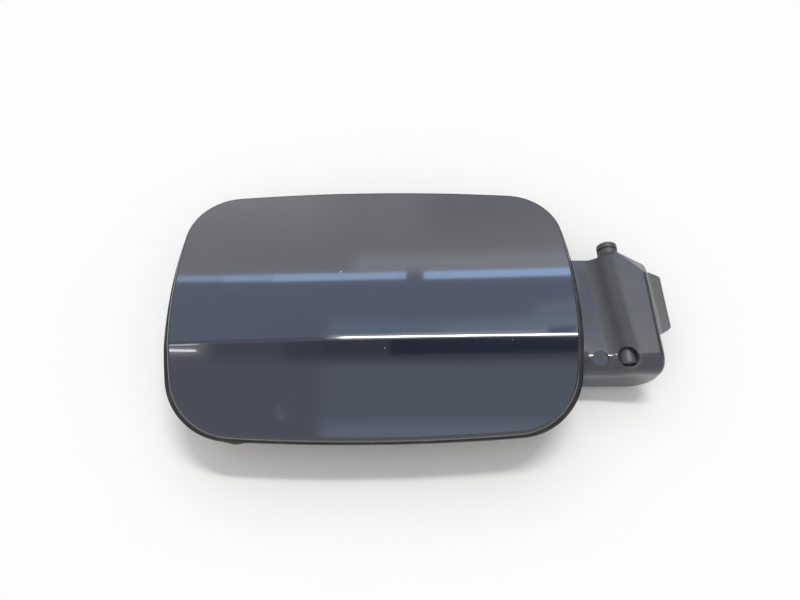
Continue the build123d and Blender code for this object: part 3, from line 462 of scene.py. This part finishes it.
@dataclass(frozen=True)
class PanelForm:
    """The panel's outline and its creased surface, in millimetres in the part's frame."""

    axis_height: float
    above_axis: float = 16.0
    middle_x: float = -112.45
    width: float = 180.7
    height: float = 124.8
    side_taper: float = 5.85
    side_bulge: float = 6.7
    top_bulge: float = 3.6
    bottom_bulge: float = 4.0
    edge_tilt: float = 0.8
    side_lean: float = 1.2
    upper_corner: float = 25.0
    lower_corner: float = 29.5
    flare: float = 0.0
    crease_drop: float = 18.5
    crease_tilt: float = 1.7
    crease_radius: float = 20.0
    upper_lean: float = 2.5
    upper_bow: float = 1200.0
    lower_lean: float = 6.5
    lower_bow: float = 900.0
    crown: float = 3000.0
    edge_radius: float = 1.4
    rows: int = 46
    columns: int = 84
    row_crowding: float = 2.4

    @property
    def ridge(self) -> float:
        """Height of the crease line at the panel's middle."""
        return self.axis_height + self.above_axis

    def crease_frame(self, x: np.ndarray, y: np.ndarray) -> Tuple[np.ndarray, np.ndarray]:
        """Places along and across the crease."""
        turn = math.radians(self.crease_tilt)
        east, north = x - self.middle_x, y + self.crease_drop
        return (east * math.cos(turn) + north * math.sin(turn),
                north * math.cos(turn) - east * math.sin(turn))

    def section(self, across: np.ndarray) -> np.ndarray:
        """Fall of the surface below the crease line, by the distance across it."""
        def face(run: np.ndarray, lean: float, bow: float) -> np.ndarray:
            """Fall of one face, which starts on the rounded crease and goes on as a bowed sheet."""
            start = self.crease_radius * math.sin(math.radians(lean))
            tip = math.sin(math.radians(lean)) + np.maximum(run - start, 0) / bow
            round_part = np.sqrt(self.crease_radius ** 2 - np.minimum(run, start) ** 2) - self.crease_radius
            return round_part + bow * (np.sqrt(1 - tip ** 2) - math.cos(math.radians(lean)))
        upper = face(np.maximum(across, 0), self.upper_lean, self.upper_bow)
        lower = face(np.maximum(-across, 0), self.lower_lean, self.lower_bow)
        return np.where(across > 0, upper, lower)

    def surface(self, flat: np.ndarray) -> np.ndarray:
        """Height of the painted surface over places in plan.

        Args:
            flat: Places as rows of x and y.

        Returns:
            One height for each place.
        """
        along, across = self.crease_frame(flat[..., 0], flat[..., 1])
        return self.ridge - self.crown + np.sqrt((self.crown + self.section(across)) ** 2 - along ** 2)

    def normals(self, flat: np.ndarray, step: float = 0.01) -> np.ndarray:
        """Unit normals of the painted surface over places in plan."""
        slopes = [(self.surface(flat + shift) - self.surface(flat - shift)) / (2 * step)
                  for shift in (np.array((step, 0.0)), np.array((0.0, step)))]
        normal = np.stack((-slopes[0], -slopes[1], np.ones_like(slopes[0])), axis=-1)
        return normal / np.linalg.norm(normal, axis=-1, keepdims=True)

    def outline(self, samples: int = 400) -> Tuple[np.ndarray, np.ndarray, List[int]]:
        """The panel's edge in plan, anticlockwise from the middle of its upper free corner.

        Args:
            samples: Points on each of the eight arcs.

        Returns:
            Points, outward directions, and where the middles of the four corners are in them.
        """
        half = self.width / 2 - self.side_bulge
        top, bottom = self.height / 2 - self.top_bulge, self.bottom_bulge - self.height / 2
        rise, lean = (math.tan(math.radians(angle)) for angle in (self.edge_tilt, self.side_lean))
        wide, narrow = half + self.side_taper / 2, half - self.side_taper / 2 + self.flare
        corners = [np.array((x - lean * y, y + rise * x)) for x, y in
                   ((-wide, top), (-narrow, bottom), (narrow, bottom), (wide, top))]
        bulges = (self.side_bulge, self.bottom_bulge, self.side_bulge, self.top_bulge)
        radii = (self.upper_corner, self.lower_corner, self.lower_corner, self.upper_corner)
        sides = [self.side_circle(corners[i], corners[(i + 1) % 4], bulges[i]) for i in range(4)]
        hubs = [self.corner_hub(sides[i - 1], sides[i], corners[i], radii[i]) for i in range(4)]
        points: List[np.ndarray] = []
        outward: List[np.ndarray] = []
        for i in range(4):
            before, after = sides[i - 1][0], sides[i][0]
            turn = (hubs[i] - before, hubs[i] - after)
            self.add_arc(points, outward, hubs[i], radii[i], turn, samples)
            run = (hubs[i] - after, hubs[(i + 1) % 4] - after)
            self.add_arc(points, outward, after, sides[i][1], run, samples)
        shift = np.array((self.middle_x, 0.0))
        start = samples // 2
        middles = [2 * samples * i for i in range(4)]
        return (np.roll(np.concatenate(points) + shift, -start, axis=0),
                np.roll(np.concatenate(outward), -start, axis=0), middles)

    @staticmethod
    def side_circle(start: np.ndarray, end: np.ndarray, bulge: float) -> Tuple[np.ndarray, float]:
        """Centre and radius of one bowed side."""
        along = end - start
        length = float(np.linalg.norm(along))
        out = np.array((along[1], -along[0])) / length
        radius = (length ** 2 / 4 + bulge ** 2) / (2 * bulge)
        return (start + end) / 2 + out * (bulge - radius), radius

    @staticmethod
    def corner_hub(first: Tuple[np.ndarray, float], second: Tuple[np.ndarray, float], near: np.ndarray,
                   radius: float) -> np.ndarray:
        """Centre of the corner arc that touches two neighbouring sides."""
        span = second[0] - first[0]
        length = float(np.linalg.norm(span))
        reach, other = first[1] - radius, second[1] - radius
        along = (length ** 2 + reach ** 2 - other ** 2) / (2 * length)
        unit = span / length
        foot = first[0] + unit * along
        side = np.array((-unit[1], unit[0])) * math.sqrt(reach ** 2 - along ** 2)
        return min((foot + side, foot - side), key=lambda point: float(np.linalg.norm(point - near)))

    @staticmethod
    def add_arc(points: List[np.ndarray], outward: List[np.ndarray], hub: np.ndarray, radius: float,
                turn: Tuple[np.ndarray, np.ndarray], samples: int) -> None:
        """Adds the points and outward directions of one anticlockwise arc, without its last point."""
        start, end = (math.atan2(ray[1], ray[0]) for ray in turn)
        sweep = (end - start) % (2 * math.pi)
        angles = start + sweep * np.arange(samples) / samples
        rays = np.stack((np.cos(angles), np.sin(angles)), axis=-1)
        points.append(hub + radius * rays)
        outward.append(rays)


class PanelLoop:
    """The panel's edge as one loop of points, crowded towards the ends of the crease."""

    def __init__(self, form: PanelForm) -> None:
        """Samples the edge so that the crease's two ends are points of the loop."""
        self.form = form
        points, outward, middles = form.outline()
        steps = np.linalg.norm(np.roll(points, -1, axis=0) - points, axis=1)
        self._places = np.concatenate(((0.0,), np.cumsum(steps)))
        self._points = np.concatenate((points, points[:1]))
        self._outward = np.concatenate((outward, outward[:1]))
        upper_free, lower_free, lower_hinge, upper_hinge = (self._places[i] for i in middles)
        free_end = self._crease_end(upper_free, lower_free)
        hinge_end = self._crease_end(lower_hinge, upper_hinge)
        crowded = np.linspace(0, 1, form.rows + 1) ** form.row_crowding
        even = np.linspace(0, 1, form.columns + 1)
        whole = self._places[-1]
        self.sides = {
            "free_up": free_end + (upper_free - free_end) * crowded,
            "free_down": free_end + (lower_free - free_end) * crowded,
            "hinge_up": hinge_end + (upper_hinge - hinge_end) * crowded,
            "hinge_down": hinge_end + (lower_hinge - hinge_end) * crowded,
            "top": whole + (upper_hinge - whole) * even,
            "bottom": lower_free + (lower_hinge - lower_free) * even}
        around = (self.sides["free_up"][::-1], self.sides["free_down"][1:], self.sides["bottom"][1:],
                  self.sides["hinge_down"][::-1][1:], self.sides["hinge_up"][1:],
                  self.sides["top"][::-1][1:-1])
        self.loop = np.concatenate(around)

    def _crease_end(self, start: float, end: float) -> float:
        """Where the crease meets a side of the panel, by halving the stretch between two places."""
        def side(place: float) -> float:
            """Signed distance of the edge from the crease at one place."""
            spot = self.inset(np.array((place,)), self.form.edge_radius)
            return float(self.form.crease_frame(spot[..., 0], spot[..., 1])[1][0])
        first = side(start)
        for _ in range(60):
            middle = (start + end) / 2
            if side(middle) * first > 0:
                start = middle
            else:
                end = middle
        return (start + end) / 2

    def inset(self, places: np.ndarray, depth: Union[float, np.ndarray]) -> np.ndarray:
        """Points in plan at places along the edge, drawn in from it by a depth."""
        point = np.stack([np.interp(places, self._places, self._points[:, i]) for i in range(2)], axis=-1)
        return point - self.outward(places) * np.asarray(depth)[..., None]

    def outward(self, places: np.ndarray) -> np.ndarray:
        """Outward directions in plan at places along the edge."""
        ray = np.stack([np.interp(places, self._places, self._outward[:, i]) for i in range(2)], axis=-1)
        return ray / np.linalg.norm(ray, axis=-1, keepdims=True)

    def face_grid(self, upper: bool) -> np.ndarray:
        """Grid of plan places over the face above or below the crease.

        Args:
            upper: True for the face above the crease.

        Returns:
            Places by row from the crease and by column from the free end.
        """
        names = ("free_up", "hinge_up", "top") if upper else ("free_down", "hinge_down", "bottom")
        left, right, far = (self.inset(self.sides[name], self.form.edge_radius) for name in names)
        u = np.linspace(0, 1, self.form.columns + 1)[None, :, None]
        v = (np.linspace(0, 1, self.form.rows + 1) ** self.form.row_crowding)[:, None, None]
        near = left[0] + (right[0] - left[0]) * u[0]
        ruled = (1 - v) * near[None] + v * far[None] + (1 - u) * left[:, None] + u * right[:, None]
        bent = (1 - u) * ((1 - v) * left[0] + v * left[-1]) + u * ((1 - v) * right[0] + v * right[-1])
        return ruled - bent


class MeshMaker:
    """Collects points and faces and turns them into a smooth mesh object."""

    def __init__(self) -> None:
        """Starts empty."""
        self.points: List[Tuple[float, float, float]] = []
        self.faces: List[Tuple[int, ...]] = []

    def add(self, points: np.ndarray) -> np.ndarray:
        """Adds points in millimetres and returns their numbers in the same shape."""
        start = len(self.points)
        rows = points.reshape(-1, 3)
        self.points.extend(map(tuple, rows * MM))
        return np.arange(start, start + len(rows)).reshape(points.shape[:-1])

    def grid(self, numbers: np.ndarray, flip: bool = False, closed: bool = False) -> None:
        """Adds the faces of a grid of points, closed along its second way if asked."""
        rows, columns = numbers.shape
        for i in range(rows - 1):
            for j in range(columns if closed else columns - 1):
                k = (j + 1) % columns
                face = (numbers[i, j], numbers[i, k], numbers[i + 1, k], numbers[i + 1, j])
                self.faces.append(tuple(int(n) for n in (face[::-1] if flip else face)))

    def finish(self, name: str, weld: float = 1e-7) -> bpy.types.Object:
        """Makes the object.

        Args:
            name: The piece's name.
            weld: Distance in metres within which points become one.

        Returns:
            A smooth mesh object at the origin of the part's frame.
        """
        mesh = bpy.data.meshes.new(name)
        mesh.from_pydata(self.points, [], self.faces)
        made = bpy.data.objects.new(name, mesh)
        bpy.context.scene.collection.objects.link(made)
        if weld:
            work = bmesh.new()
            work.from_mesh(mesh)
            bmesh.ops.remove_doubles(work, verts=work.verts, dist=weld)
            work.to_mesh(mesh)
            work.free()
        mesh.shade_smooth()
        return made


@dataclass
class OuterSkin:
    """Painted skin with its turned edge and hem, as one closed smooth mesh."""

    form: PanelForm
    loop: PanelLoop
    skin: float = 0.9
    hem_depth: float = 2.8
    hem_width: float = 6.5
    fold_radius: float = 0.45
    edge_steps: int = 9
    fold_steps: int = 4

    def profile(self) -> List[Tuple[float, float]]:
        """Section of the turned edge as insets from the edge and depths below the surface."""
        r, f = self.form.edge_radius, self.fold_radius
        path = [(r * (1 - math.sin(a)), r * (1 - math.cos(a)))
                for a in np.linspace(0, math.pi / 2, self.edge_steps + 1)]
        path += [(f * (1 - math.cos(a)), self.hem_depth - f * (1 - math.sin(a)))
                 for a in np.linspace(0, math.pi / 2, self.fold_steps + 1)]
        lip = self.hem_width - f
        path += [(lip + f * math.sin(a), self.hem_depth - f * (1 - math.cos(a)))
                 for a in np.linspace(0, math.pi / 2, self.fold_steps + 1)]
        path += [(self.hem_width, self.hem_depth - self.skin), (self.skin, self.hem_depth - self.skin),
                 (self.skin, self.skin)]
        return path

    def ring(self, inset: float, depth: float) -> np.ndarray:
        """One ring of the turned edge."""
        flat = self.loop.inset(self.loop.loop, inset)
        height = self.form.surface(flat) - depth
        return np.concatenate((flat, height[:, None]), axis=1)

    def build(self, finishes: Finishes) -> bpy.types.Object:
        """Builds the skin and gives it its paint.

        Args:
            finishes: The door's finishes.

        Returns:
            The piece.
        """
        maker = MeshMaker()
        for depth, inside in ((0.0, False), (self.skin, True)):
            for upper in (True, False):
                flat = self.loop.face_grid(upper)
                height = self.form.surface(flat) - depth
                numbers = maker.add(np.concatenate((flat, height[..., None]), axis=-1))
                maker.grid(numbers, flip=upper == inside)
        rings = [maker.add(self.ring(inset, depth)) for inset, depth in self.profile()]
        rings.append(maker.add(self.ring(self.form.edge_radius, self.skin)))
        maker.grid(np.stack(rings), closed=True, flip=True)
        made = maker.finish("painted_skin")
        self.set_normals(made)
        finishes.dress(made, "body_paint")
        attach(made, "door")
        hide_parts("outer_panel")
        return made

    def set_normals(self, made: bpy.types.Object) -> None:
        """Gives the painted face the exact normals of its surface, so that reflections run clean."""
        mesh = made.data
        count = len(mesh.vertices)
        places = np.zeros(count * 3, np.float64)
        mesh.vertices.foreach_get("co", places)
        places = places.reshape(-1, 3) / MM
        shaded = np.zeros(count * 3, np.float64)
        mesh.vertices.foreach_get("normal", shaded)
        shaded = shaded.reshape(-1, 3)
        on_top = np.abs(places[:, 2] - self.form.surface(places[:, :2])) < 1e-3
        exact = self.form.normals(places[:, :2])
        normals = np.where(on_top[:, None], exact, shaded)
        mesh.normals_split_custom_set_from_vertices([tuple(n) for n in normals])


@dataclass
class EdgeSeal:
    """Rubber bead under the hem, with the lump where its two ends meet."""

    form: PanelForm
    loop: PanelLoop
    top: float = 2.8
    overhang: float = 0.4
    flare: float = 2.2
    width: float = 4.0
    height: float = 3.0
    round_off: float = 1.2
    joint: Tuple[float, float] = (-167.1, -61.6)
    joint_reach: float = 3.0
    joint_swell: float = 1.5
    steps: int = 6

    def profile(self) -> List[Tuple[PanelLoop, float, float]]:
        """Section of the bead: for each point an outer or inner loop, an inset from it and a depth."""
        outer, inner = PanelLoop(replace(self.form, flare=self.flare)), self.loop
        low, r = self.top + self.height, self.round_off
        out, back = -self.overhang, self.width - self.overhang
        turn = np.linspace(0, math.pi / 2, self.steps + 1)
        path = [(inner, back, self.top), (outer, out, self.top)]
        path += [(outer, out + r * (1 - math.cos(a)), low - r * (1 - math.sin(a))) for a in turn]
        path += [(inner, back - r * (1 - math.sin(a)), low - r * (1 - math.cos(a))) for a in turn]
        return path

    def build(self, finishes: Finishes) -> bpy.types.Object:
        """Builds the bead and gives it its rubber.

        Args:
            finishes: The door's finishes.

        Returns:
            The piece.
        """
        maker = MeshMaker()
        edge = self.loop.inset(self.loop.loop, 0.0)
        gap = np.linalg.norm(edge - np.array(self.joint), axis=1) / self.joint_reach
        swell = self.joint_swell * np.exp(-gap ** 2)
        rings = []
        for loop, inset, depth in self.profile():
            lower = (depth - self.top) / self.height
            flat = loop.inset(loop.loop, inset - swell * 0.6 * lower)
            height = self.form.surface(flat) - depth - swell * lower
            rings.append(maker.add(np.concatenate((flat, height[:, None]), axis=1)))
        maker.grid(np.stack(rings + rings[:1]), closed=True, flip=True)
        made = maker.finish("rubber_edge")
        finishes.dress(made, "seal_rubber")
        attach(made, "door")
        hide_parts("edge_seal")
        return made


@dataclass
class CadPieces:
    """The pieces that keep their solids and get their finish here."""

    nodes: Mapping[str, bpy.types.Object]
    subparts: Sequence[Mapping[str, Any]]

    def dress(self, finishes: Finishes, replaced: Iterable[str]) -> None:
        """Gives each solid the finish that the record names for it.

        Args:
            finishes: The door's finishes.
            replaced: Solids that another piece stands for.
        """
        for part in self.subparts:
            if part["node"] in replaced:
                continue
            finishes.dress(self.nodes[part["node"]], part["material_slot"])
            LOG.info("%s: %s", part["node"], part["material_slot"])


@dataclass(frozen=True)
class Card:
    """A card or lamp of the studio, by the eastward and northward parts of the directions it fills.

    An arch and a tilt bend the northward limits over the eastward part.
    """

    east: Span
    north: Span
    light: Colour
    soft: float = 0.03
    arch: float = 0.0
    tilt: float = 0.0


@dataclass
class Studio:
    """Pale table, soft surroundings and the camera."""

    target: Tuple[float, float, float] = (-101.0, -1.5, 35.0)
    distance: float = 272.0
    elevation: float = 62.0
    lens: float = 27.9
    sensor: float = 36.0
    table_size: float = 12000.0
    table_finish: Table = Table("pale_table", (0.80, 0.80, 0.795), 0.6, specular=0.2)
    ground: Colour = (0.55, 0.55, 0.55)
    ground_edge: Span = (-0.02, 0.0)
    horizon: Colour = (0.85, 0.85, 0.85)
    horizon_edge: Span = (0.05, 0.2)
    sides: Colour = (0.7, 0.67, 0.61)
    cards: Tuple[Card, ...] = field(default_factory=lambda: (
        # Side, front and far fields
        Card((0.43, 1.2), (-1.2, 1.2), (0.4, 0.39, 0.37), 0.06),
        Card((-1.2, 1.2), (-1.2, -0.12), (0.86, 0.85, 0.83), 0.2),
        Card((-1.2, 1.2), (0.8, 1.2), (0.36, 0.36, 0.36), 0.08),
        # Room behind the door, mirrored in most of the panel
        Card((-0.45, 0.34), (-0.1, 0.66), (0.72, 0.77, 0.98), 0.06),
        Card((-0.13, 0.46), (-0.02, 0.14), (0.79, 0.91, 1.2), 0.05),
        Card((-0.42, 0.36), (0.4, 0.66), (0.88, 1.02, 1.4), 0.03),
        Card((0.25, 0.34), (0.49, 0.545), (1.25, 1.45, 1.8), 0.03),
        # Pale wall above the window
        Card((-0.45, 0.44), (0.624, 0.8), (1.5, 1.53, 1.62), 0.004, *WINDOW_BEND),
        Card((-0.6, -0.13), (0.715, 0.8), (1.8, 1.8, 1.82), 0.1, 0.1),
        Card((0.05, 0.44), (0.7, 0.8), (1.2, 1.23, 1.36), 0.1, 0.1),
        Card((-0.08, 0.36), (0.624, 0.656), (1.97, 2.07, 2.3), 0.03, *WINDOW_BEND),
        # Window, in two panes
        Card((-0.23, 0.015), (0.6097, 0.624), (2.75, 3.8, 5.6), 0.006, *WINDOW_BEND),
        Card((-0.42, -0.31), (0.6122, 0.6235), (2.2, 3.0, 4.3), 0.008, *WINDOW_BEND),
        Card((-0.312, -0.228), (0.611, 0.6237), (2.45, 3.4, 4.9), 0.008, *WINDOW_BEND),
        Card((0.047, 0.335), (0.6085, 0.6235), (2.9, 4.1, 6.2), 0.007, *WINDOW_BEND),
        # Glow above the lamp
        Card((-0.125, 0.34), (0.38, 0.525), (1.1, 1.36, 1.84), 0.02),
        Card((0.08, 0.34), (0.38, 0.512), (1.3, 1.64, 2.12), 0.03),
        Card((-0.125, 0.34), (0.3, 0.485), (2.1, 2.3, 2.7), 0.02),
        # Fields that mostly the arm's neck and top mirror
        Card((0.274, 0.322), (0.372, 0.495), (0.72, 0.86, 1.22), 0.012),
        Card((0.324, 0.44), (0.3, 0.51), (1.75, 1.85, 2.05), 0.012),
        # Glow and darkness below the lamp
        Card((-0.1, 0.34), (0.205, 0.37), (1.35, 1.45, 1.65), 0.02, *LAMP_BEND),
        Card((-0.33, 0.44), (0.145, 0.23), (0.5, 0.53, 0.7), 0.045),
        Card((-0.2, 0.44), (0.146, 0.226), (0.34, 0.37, 0.5), 0.03),
        Card((-0.1, 0.34), (0.255, 0.41), (3.2, 3.3, 3.6), 0.02, *LAMP_BEND),
        Card((-0.13, 0.0), (0.16, 0.2), (0.27, 0.3, 0.42), 0.015),
        Card((-0.005, 0.44), (0.16, 0.1985), (0.06, 0.08, 0.2), 0.01),
        # Lamp along the crease
        Card((-0.105, 0.338), (0.3, 0.372), (12.0, 12.2, 12.6), 0.02, *LAMP_BEND),
        Card((-0.1, 0.335), (0.318, 0.352), (68.0, 65.0, 56.0), 0.008, *LAMP_BEND),
        # Small lamp beyond the free end
        Card((-0.46, -0.335), (0.155, 0.285), (1.2, 1.22, 1.3), 0.03),
        Card((-0.46, -0.35), (0.212, 0.272), (4.6, 4.6, 5.0), 0.016),
        Card((-0.46, -0.35), (0.1634, 0.1686), (12.0, 12.0, 12.6), 0.0025),
        # Low field, mirrored at the near edge
        Card((-0.13, 0.44), (-0.1, -0.01), (1.16, 1.34, 1.72), 0.05)))

    def table(self) -> bpy.types.Object:
        """Makes the table top.

        Returns:
            The floor piece.
        """
        half = self.table_size * MM / 2
        mesh = bpy.data.meshes.new("table_top")
        corners = [(-half, -half, 0), (half, -half, 0), (half, half, 0), (-half, half, 0)]
        mesh.from_pydata(corners, [], [(0, 1, 2, 3)])
        made = bpy.data.objects.new("table_top", mesh)
        bpy.context.scene.collection.objects.link(made)
        mesh.materials.append(self.table_finish.material())
        return made

    def surroundings(self) -> None:
        """Lights the scene from all round, with the lamps and cards that the door's gloss shows."""
        world = bpy.data.worlds.new("studio")
        bpy.context.scene.world = world
        world.use_nodes = True
        graph = Graph(world.node_tree)
        ray = graph.node("ShaderNodeTexCoord", output="Generated")
        east, north, up = graph.split(ray)
        light: Term = self.sides
        for card in self.cards:
            lifted = north + east * (east * card.arch - card.tilt) if card.arch else north
            mask = east.within(card.east, card.soft) * lifted.within(card.north, card.soft)
            light = graph.mix(mask, light, card.light)
        light = graph.mix(up.fall(*self.horizon_edge), light, self.horizon)
        light = graph.mix(up.fall(*self.ground_edge), light, self.ground)
        background = world.node_tree.nodes["Background"]
        graph.feed(background.inputs["Color"], light)
        background.inputs["Strength"].default_value = 1.0

    def camera(self) -> bpy.types.Object:
        """Makes the camera at the photograph's angle.

        Returns:
            The camera.
        """
        data = bpy.data.cameras.new("view")
        data.lens, data.sensor_width = self.lens, self.sensor
        data.clip_start, data.clip_end = 0.01, 50.0
        made = bpy.data.objects.new("view", data)
        bpy.context.scene.collection.objects.link(made)
        rise = math.radians(self.elevation)
        back = Vector((0.0, -math.cos(rise), math.sin(rise)))
        made.location = (Vector(self.target) + back * self.distance) * MM
        made.rotation_euler = (math.pi / 2 - rise, 0.0, 0.0)
        bpy.context.scene.camera = made
        return made


def main() -> None:
    """Builds the fuel door's looks piece by piece."""
    logging.basicConfig(level=logging.INFO, format="%(name)s: %(message)s")
    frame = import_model()
    bpy.context.scene.view_settings.view_transform = "Standard"
    finishes = Finishes()
    hinge = frame["record"]["behaviour"]["joints"][0]
    form = PanelForm(axis_height=hinge["pos_m"][2] / MM)
    loop = PanelLoop(form)
    for maker in (OuterSkin(form, loop), EdgeSeal(form, loop)):
        piece = maker.build(finishes)
        LOG.info("%s: %d faces", piece.name, len(piece.data.polygons))
    CadPieces(frame["nodes"], frame["record"]["subparts"]).dress(finishes, ("outer_panel", "edge_seal"))
    studio = Studio()
    studio.table()
    studio.surroundings()
    studio.camera()


if __name__ == "__main__":
    main()
